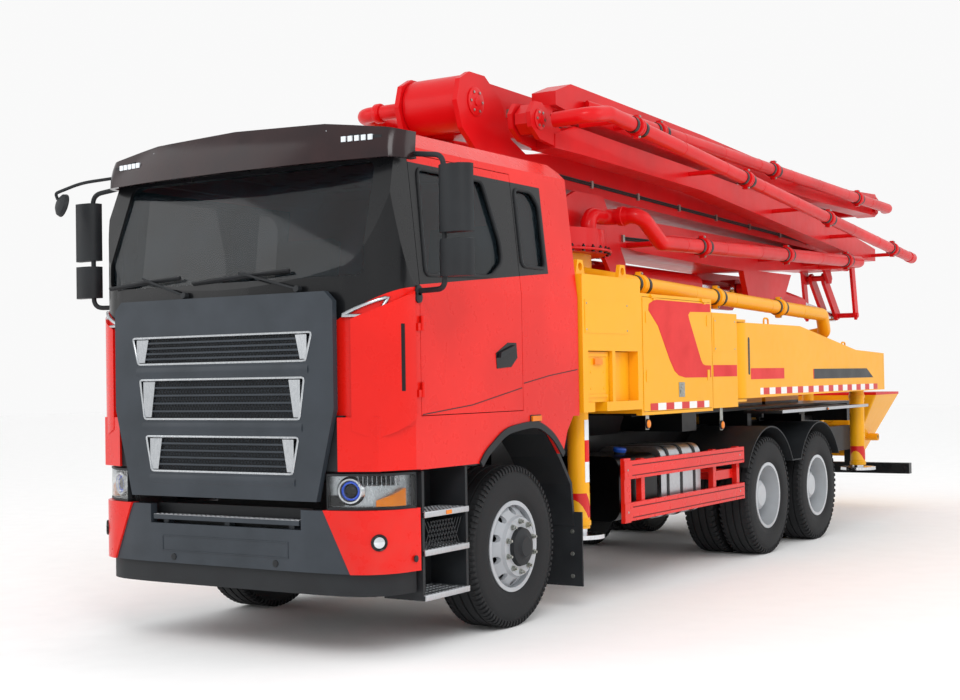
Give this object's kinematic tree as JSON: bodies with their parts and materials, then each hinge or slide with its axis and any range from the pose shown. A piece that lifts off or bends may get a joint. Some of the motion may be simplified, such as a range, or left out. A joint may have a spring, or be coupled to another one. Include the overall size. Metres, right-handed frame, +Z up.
{
  "type": "truck-mounted concrete pump",
  "caption": "Three-axle concrete pump truck with a five-section folding boom, swinging rear outriggers, sliding front outriggers and a rear hopper.",
  "frame": {"origin": "on the ground below the middle of the whole vehicle", "axes": "+Z up, the nose points along -Y, +X is the truck's left side"},
  "size_m": [3.3, 11.895, 4],
  "materials": {
    "cab_red": "gloss two-pack paint",
    "boom_red": "gloss enamel",
    "body_yellow": "gloss enamel",
    "dark_panel": "semi-gloss moulding",
    "black_plastic": "moulded, fine grain",
    "chassis_black": "satin chassis paint",
    "engine_cast": "painted casting",
    "window_glass": "tinted",
    "lamp_lens": "clear polycarbonate",
    "cab_trim": "woven seats and moulded trim",
    "tank_aluminium": "satin",
    "bare_steel": "worn",
    "cylinder_chrome": "polished rod",
    "rim_silver": "silver wheel paint",
    "tyre_rubber": "matt rubber"
  },
  "bodies": {
    "root": {"chassis_frame": "chassis_black", "engine_block": "engine_cast", "axles": "chassis_black", "cab_shell": "cab_red", "cab_roof": "cab_red", "cab_glass": "window_glass", "grille_panel": "dark_panel", "front_bumper": "cab_red", "headlamps": "lamp_lens", "visor_and_mirrors": "black_plastic", "cab_interior": "cab_trim", "cab_steps": "black_plastic", "superstructure": "body_yellow", "storage_boxes": "body_yellow", "side_tanks": "tank_aluminium", "side_guards": "boom_red", "rear_fenders": "black_plastic", "concrete_pump": "body_yellow", "hopper": "body_yellow"},
    "storage_door": {"storage_door": "body_yellow"},
    "hopper_grate": {"hopper_grate": "boom_red"},
    "agitator": {"agitator": "bare_steel"},
    "turret": {"turret": "boom_red"},
    "boom_1": {"boom_1": "boom_red"},
    "boom_2": {"boom_2": "boom_red"},
    "boom_3": {"boom_3": "boom_red"},
    "boom_4": {"boom_4": "boom_red"},
    "boom_5": {"boom_5": "boom_red"},
    "lift_barrel": {"lift_barrel": "boom_red"},
    "lift_rod": {"lift_rod": "cylinder_chrome"},
    "fold_barrel": {"fold_barrel": "boom_red"},
    "fold_rod": {"fold_rod": "cylinder_chrome"},
    "fold_rocker": {"fold_rocker": "boom_red"},
    "fold_link": {"fold_link": "boom_red"},
    "knuckle_left": {"knuckle_left": "chassis_black"},
    "wheel_front_left": {"tyre_front_left": "tyre_rubber", "rim_front_left": "rim_silver"},
    "wheels_rear_1_left": {"tyres_rear_1_left": "tyre_rubber", "rims_rear_1_left": "rim_silver"},
    "wheels_rear_2_left": {"tyres_rear_2_left": "tyre_rubber", "rims_rear_2_left": "rim_silver"},
    "door_left": {"door_left": "cab_red", "door_glass_left": "window_glass"},
    "front_beam_left": {"front_beam_left": "body_yellow"},
    "front_jack_left": {"front_jack_left": "cylinder_chrome"},
    "rear_arm_left": {"rear_arm_left": "body_yellow"},
    "rear_jack_left": {"rear_jack_left": "cylinder_chrome"},
    "knuckle_right": {"knuckle_right": "chassis_black"},
    "wheel_front_right": {"tyre_front_right": "tyre_rubber", "rim_front_right": "rim_silver"},
    "wheels_rear_1_right": {"tyres_rear_1_right": "tyre_rubber", "rims_rear_1_right": "rim_silver"},
    "wheels_rear_2_right": {"tyres_rear_2_right": "tyre_rubber", "rims_rear_2_right": "rim_silver"},
    "door_right": {"door_right": "cab_red", "door_glass_right": "window_glass"},
    "front_beam_right": {"front_beam_right": "body_yellow"},
    "front_jack_right": {"front_jack_right": "cylinder_chrome"},
    "rear_arm_right": {"rear_arm_right": "body_yellow"},
    "rear_jack_right": {"rear_jack_right": "cylinder_chrome"}
  },
  "joints": [
    {"name": "steer_left", "type": "hinge", "parent": "root", "child": "knuckle_left", "pos_m": [0.845, -4.3475, 0.54], "axis": [0, 0, 1], "range_deg": [-38, 38]},
    {"name": "spin_front_left", "type": "hinge", "parent": "knuckle_left", "child": "wheel_front_left", "pos_m": [1.02, -4.3475, 0.54], "axis": [1, 0, 0], "continuous": true},
    {"name": "spin_rear_1_left", "type": "hinge", "parent": "root", "child": "wheels_rear_1_left", "pos_m": [0.905, 0.1575, 0.54], "axis": [1, 0, 0], "continuous": true},
    {"name": "spin_rear_2_left", "type": "hinge", "parent": "root", "child": "wheels_rear_2_left", "pos_m": [0.905, 1.5075, 0.54], "axis": [1, 0, 0], "continuous": true},
    {"name": "open_door_left", "type": "hinge", "parent": "root", "child": "door_left", "pos_m": [1.245, -5.515, 1.8], "axis": [0, 0, -1], "range_deg": [0, 70]},
    {"name": "extend_beam_left", "type": "slide", "parent": "root", "child": "front_beam_left", "axis": [1, 0, 0], "range_m": [0, 1.7]},
    {"name": "lower_front_jack_left", "type": "slide", "parent": "front_beam_left", "child": "front_jack_left", "axis": [0, 0, -1], "range_m": [0, 0.6]},
    {"name": "swing_arm_left", "type": "hinge", "parent": "root", "child": "rear_arm_left", "pos_m": [1.08, -0.3975, 1.79], "axis": [0, 0, -1], "range_deg": [0, 75]},
    {"name": "lower_rear_jack_left", "type": "slide", "parent": "rear_arm_left", "child": "rear_jack_left", "axis": [0, 0, -1], "range_m": [0, 0.6]},
    {"name": "steer_right", "type": "hinge", "parent": "root", "child": "knuckle_right", "pos_m": [-0.845, -4.3475, 0.54], "axis": [0, 0, 1], "range_deg": [-38, 38]},
    {"name": "spin_front_right", "type": "hinge", "parent": "knuckle_right", "child": "wheel_front_right", "pos_m": [-1.02, -4.3475, 0.54], "axis": [1, 0, 0], "continuous": true},
    {"name": "spin_rear_1_right", "type": "hinge", "parent": "root", "child": "wheels_rear_1_right", "pos_m": [-0.905, 0.1575, 0.54], "axis": [1, 0, 0], "continuous": true},
    {"name": "spin_rear_2_right", "type": "hinge", "parent": "root", "child": "wheels_rear_2_right", "pos_m": [-0.905, 1.5075, 0.54], "axis": [1, 0, 0], "continuous": true},
    {"name": "open_door_right", "type": "hinge", "parent": "root", "child": "door_right", "pos_m": [-1.245, -5.515, 1.8], "axis": [0, 0, 1], "range_deg": [0, 70]},
    {"name": "extend_beam_right", "type": "slide", "parent": "root", "child": "front_beam_right", "axis": [-1, 0, 0], "range_m": [0, 1.7]},
    {"name": "lower_front_jack_right", "type": "slide", "parent": "front_beam_right", "child": "front_jack_right", "axis": [0, 0, -1], "range_m": [0, 0.6]},
    {"name": "swing_arm_right", "type": "hinge", "parent": "root", "child": "rear_arm_right", "pos_m": [-1.08, -0.3975, 1.79], "axis": [0, 0, 1], "range_deg": [0, 75]},
    {"name": "lower_rear_jack_right", "type": "slide", "parent": "rear_arm_right", "child": "rear_jack_right", "axis": [0, 0, -1], "range_m": [0, 0.6]},
    {"name": "open_storage_door", "type": "hinge", "parent": "root", "child": "storage_door", "pos_m": [1.253, -1.8425, 2.284], "axis": [0, -1, 0], "range_deg": [0, 100]},
    {"name": "open_hopper_grate", "type": "hinge", "parent": "root", "child": "hopper_grate", "pos_m": [0, 4.9775, 1.405], "axis": [1, 0, 0], "range_deg": [0, 95]},
    {"name": "spin_agitator", "type": "hinge", "parent": "root", "child": "agitator", "pos_m": [0, 5.4675, 0.85], "axis": [1, 0, 0], "continuous": true},
    {"name": "boom_slew", "type": "hinge", "parent": "root", "child": "turret", "pos_m": [0, -2.0475, 2.79], "axis": [0, 0, -1], "range_deg": [-180, 180]},
    {"name": "boom_1_lift", "type": "hinge", "parent": "turret", "child": "boom_1", "pos_m": [0, -1.5975, 3.03], "axis": [1, 0, 0], "range_deg": [0, 85]},
    {"name": "boom_2_open", "type": "hinge", "parent": "boom_1", "child": "boom_2", "pos_m": [0, 5.4025, 3.12], "axis": [-1, 0, 0], "range_deg": [0, 180]},
    {"name": "boom_3_open", "type": "hinge", "parent": "boom_2", "child": "boom_3", "pos_m": [0, -3.3675, 3.78], "axis": [1, 0, 0], "range_deg": [0, 180]},
    {"name": "boom_4_open", "type": "hinge", "parent": "boom_3", "child": "boom_4", "pos_m": [0.595, 5.2525, 3.75], "axis": [-1, 0, 0], "range_deg": [0, 180]},
    {"name": "boom_5_open", "type": "hinge", "parent": "boom_4", "child": "boom_5", "pos_m": [0.595, -3.0975, 3.64], "axis": [-1, 0, 0], "range_deg": [0, 180]},
    {"name": "lift_barrel_tilt", "type": "hinge", "parent": "turret", "child": "lift_barrel", "pos_m": [0, -1.0975, 2.61], "axis": [1, 0, 0], "range_deg": [0, 86.6]},
    {"name": "lift_rod_extend", "type": "slide", "parent": "lift_barrel", "child": "lift_rod", "axis": [0, 1, -0.003], "range_m": [0, 0.8766]},
    {"name": "fold_barrel_tilt", "type": "hinge", "parent": "boom_1", "child": "fold_barrel", "pos_m": [0, 3.0525, 2.65], "axis": [-1, 0, 0], "range_deg": [0, 2.05]},
    {"name": "fold_rod_retract", "type": "slide", "parent": "fold_barrel", "child": "fold_rod", "axis": [0, -0.9952, 0.0976], "range_m": [0, 1.039]},
    {"name": "fold_rocker_turn", "type": "hinge", "parent": "boom_1", "child": "fold_rocker", "pos_m": [0, 5.1025, 2.86], "axis": [-1, 0, 0], "range_deg": [0, 100]},
    {"name": "fold_link_turn", "type": "hinge", "parent": "fold_rocker", "child": "fold_link", "pos_m": [0, 5.6025, 2.4], "axis": [1, 0, 0], "range_deg": [0, 27.39]}
  ],
  "couplings": [
    {"joint": "steer_right", "follows": "steer_left", "ratio": 1},
    {"joint": "boom_slew", "follows": "boom_2_open", "ratio": 1},
    {"joint": "boom_1_lift", "follows": "boom_2_open", "ratio": 0.47222},
    {"joint": "boom_5_open", "follows": "boom_3_open", "ratio": 1},
    {"joint": "lift_barrel_tilt", "follows": "boom_2_open", "ratio": 0.48106},
    {"joint": "lift_rod_extend", "follows": "boom_2_open", "m_per_rad": 0.27887},
    {"joint": "fold_barrel_tilt", "follows": "boom_2_open", "ratio": 0.011327},
    {"joint": "fold_rod_retract", "follows": "boom_2_open", "m_per_rad": 0.33058},
    {"joint": "fold_rocker_turn", "follows": "boom_2_open", "ratio": 0.55556},
    {"joint": "fold_link_turn", "follows": "boom_2_open", "ratio": 0.15213}
  ]
}
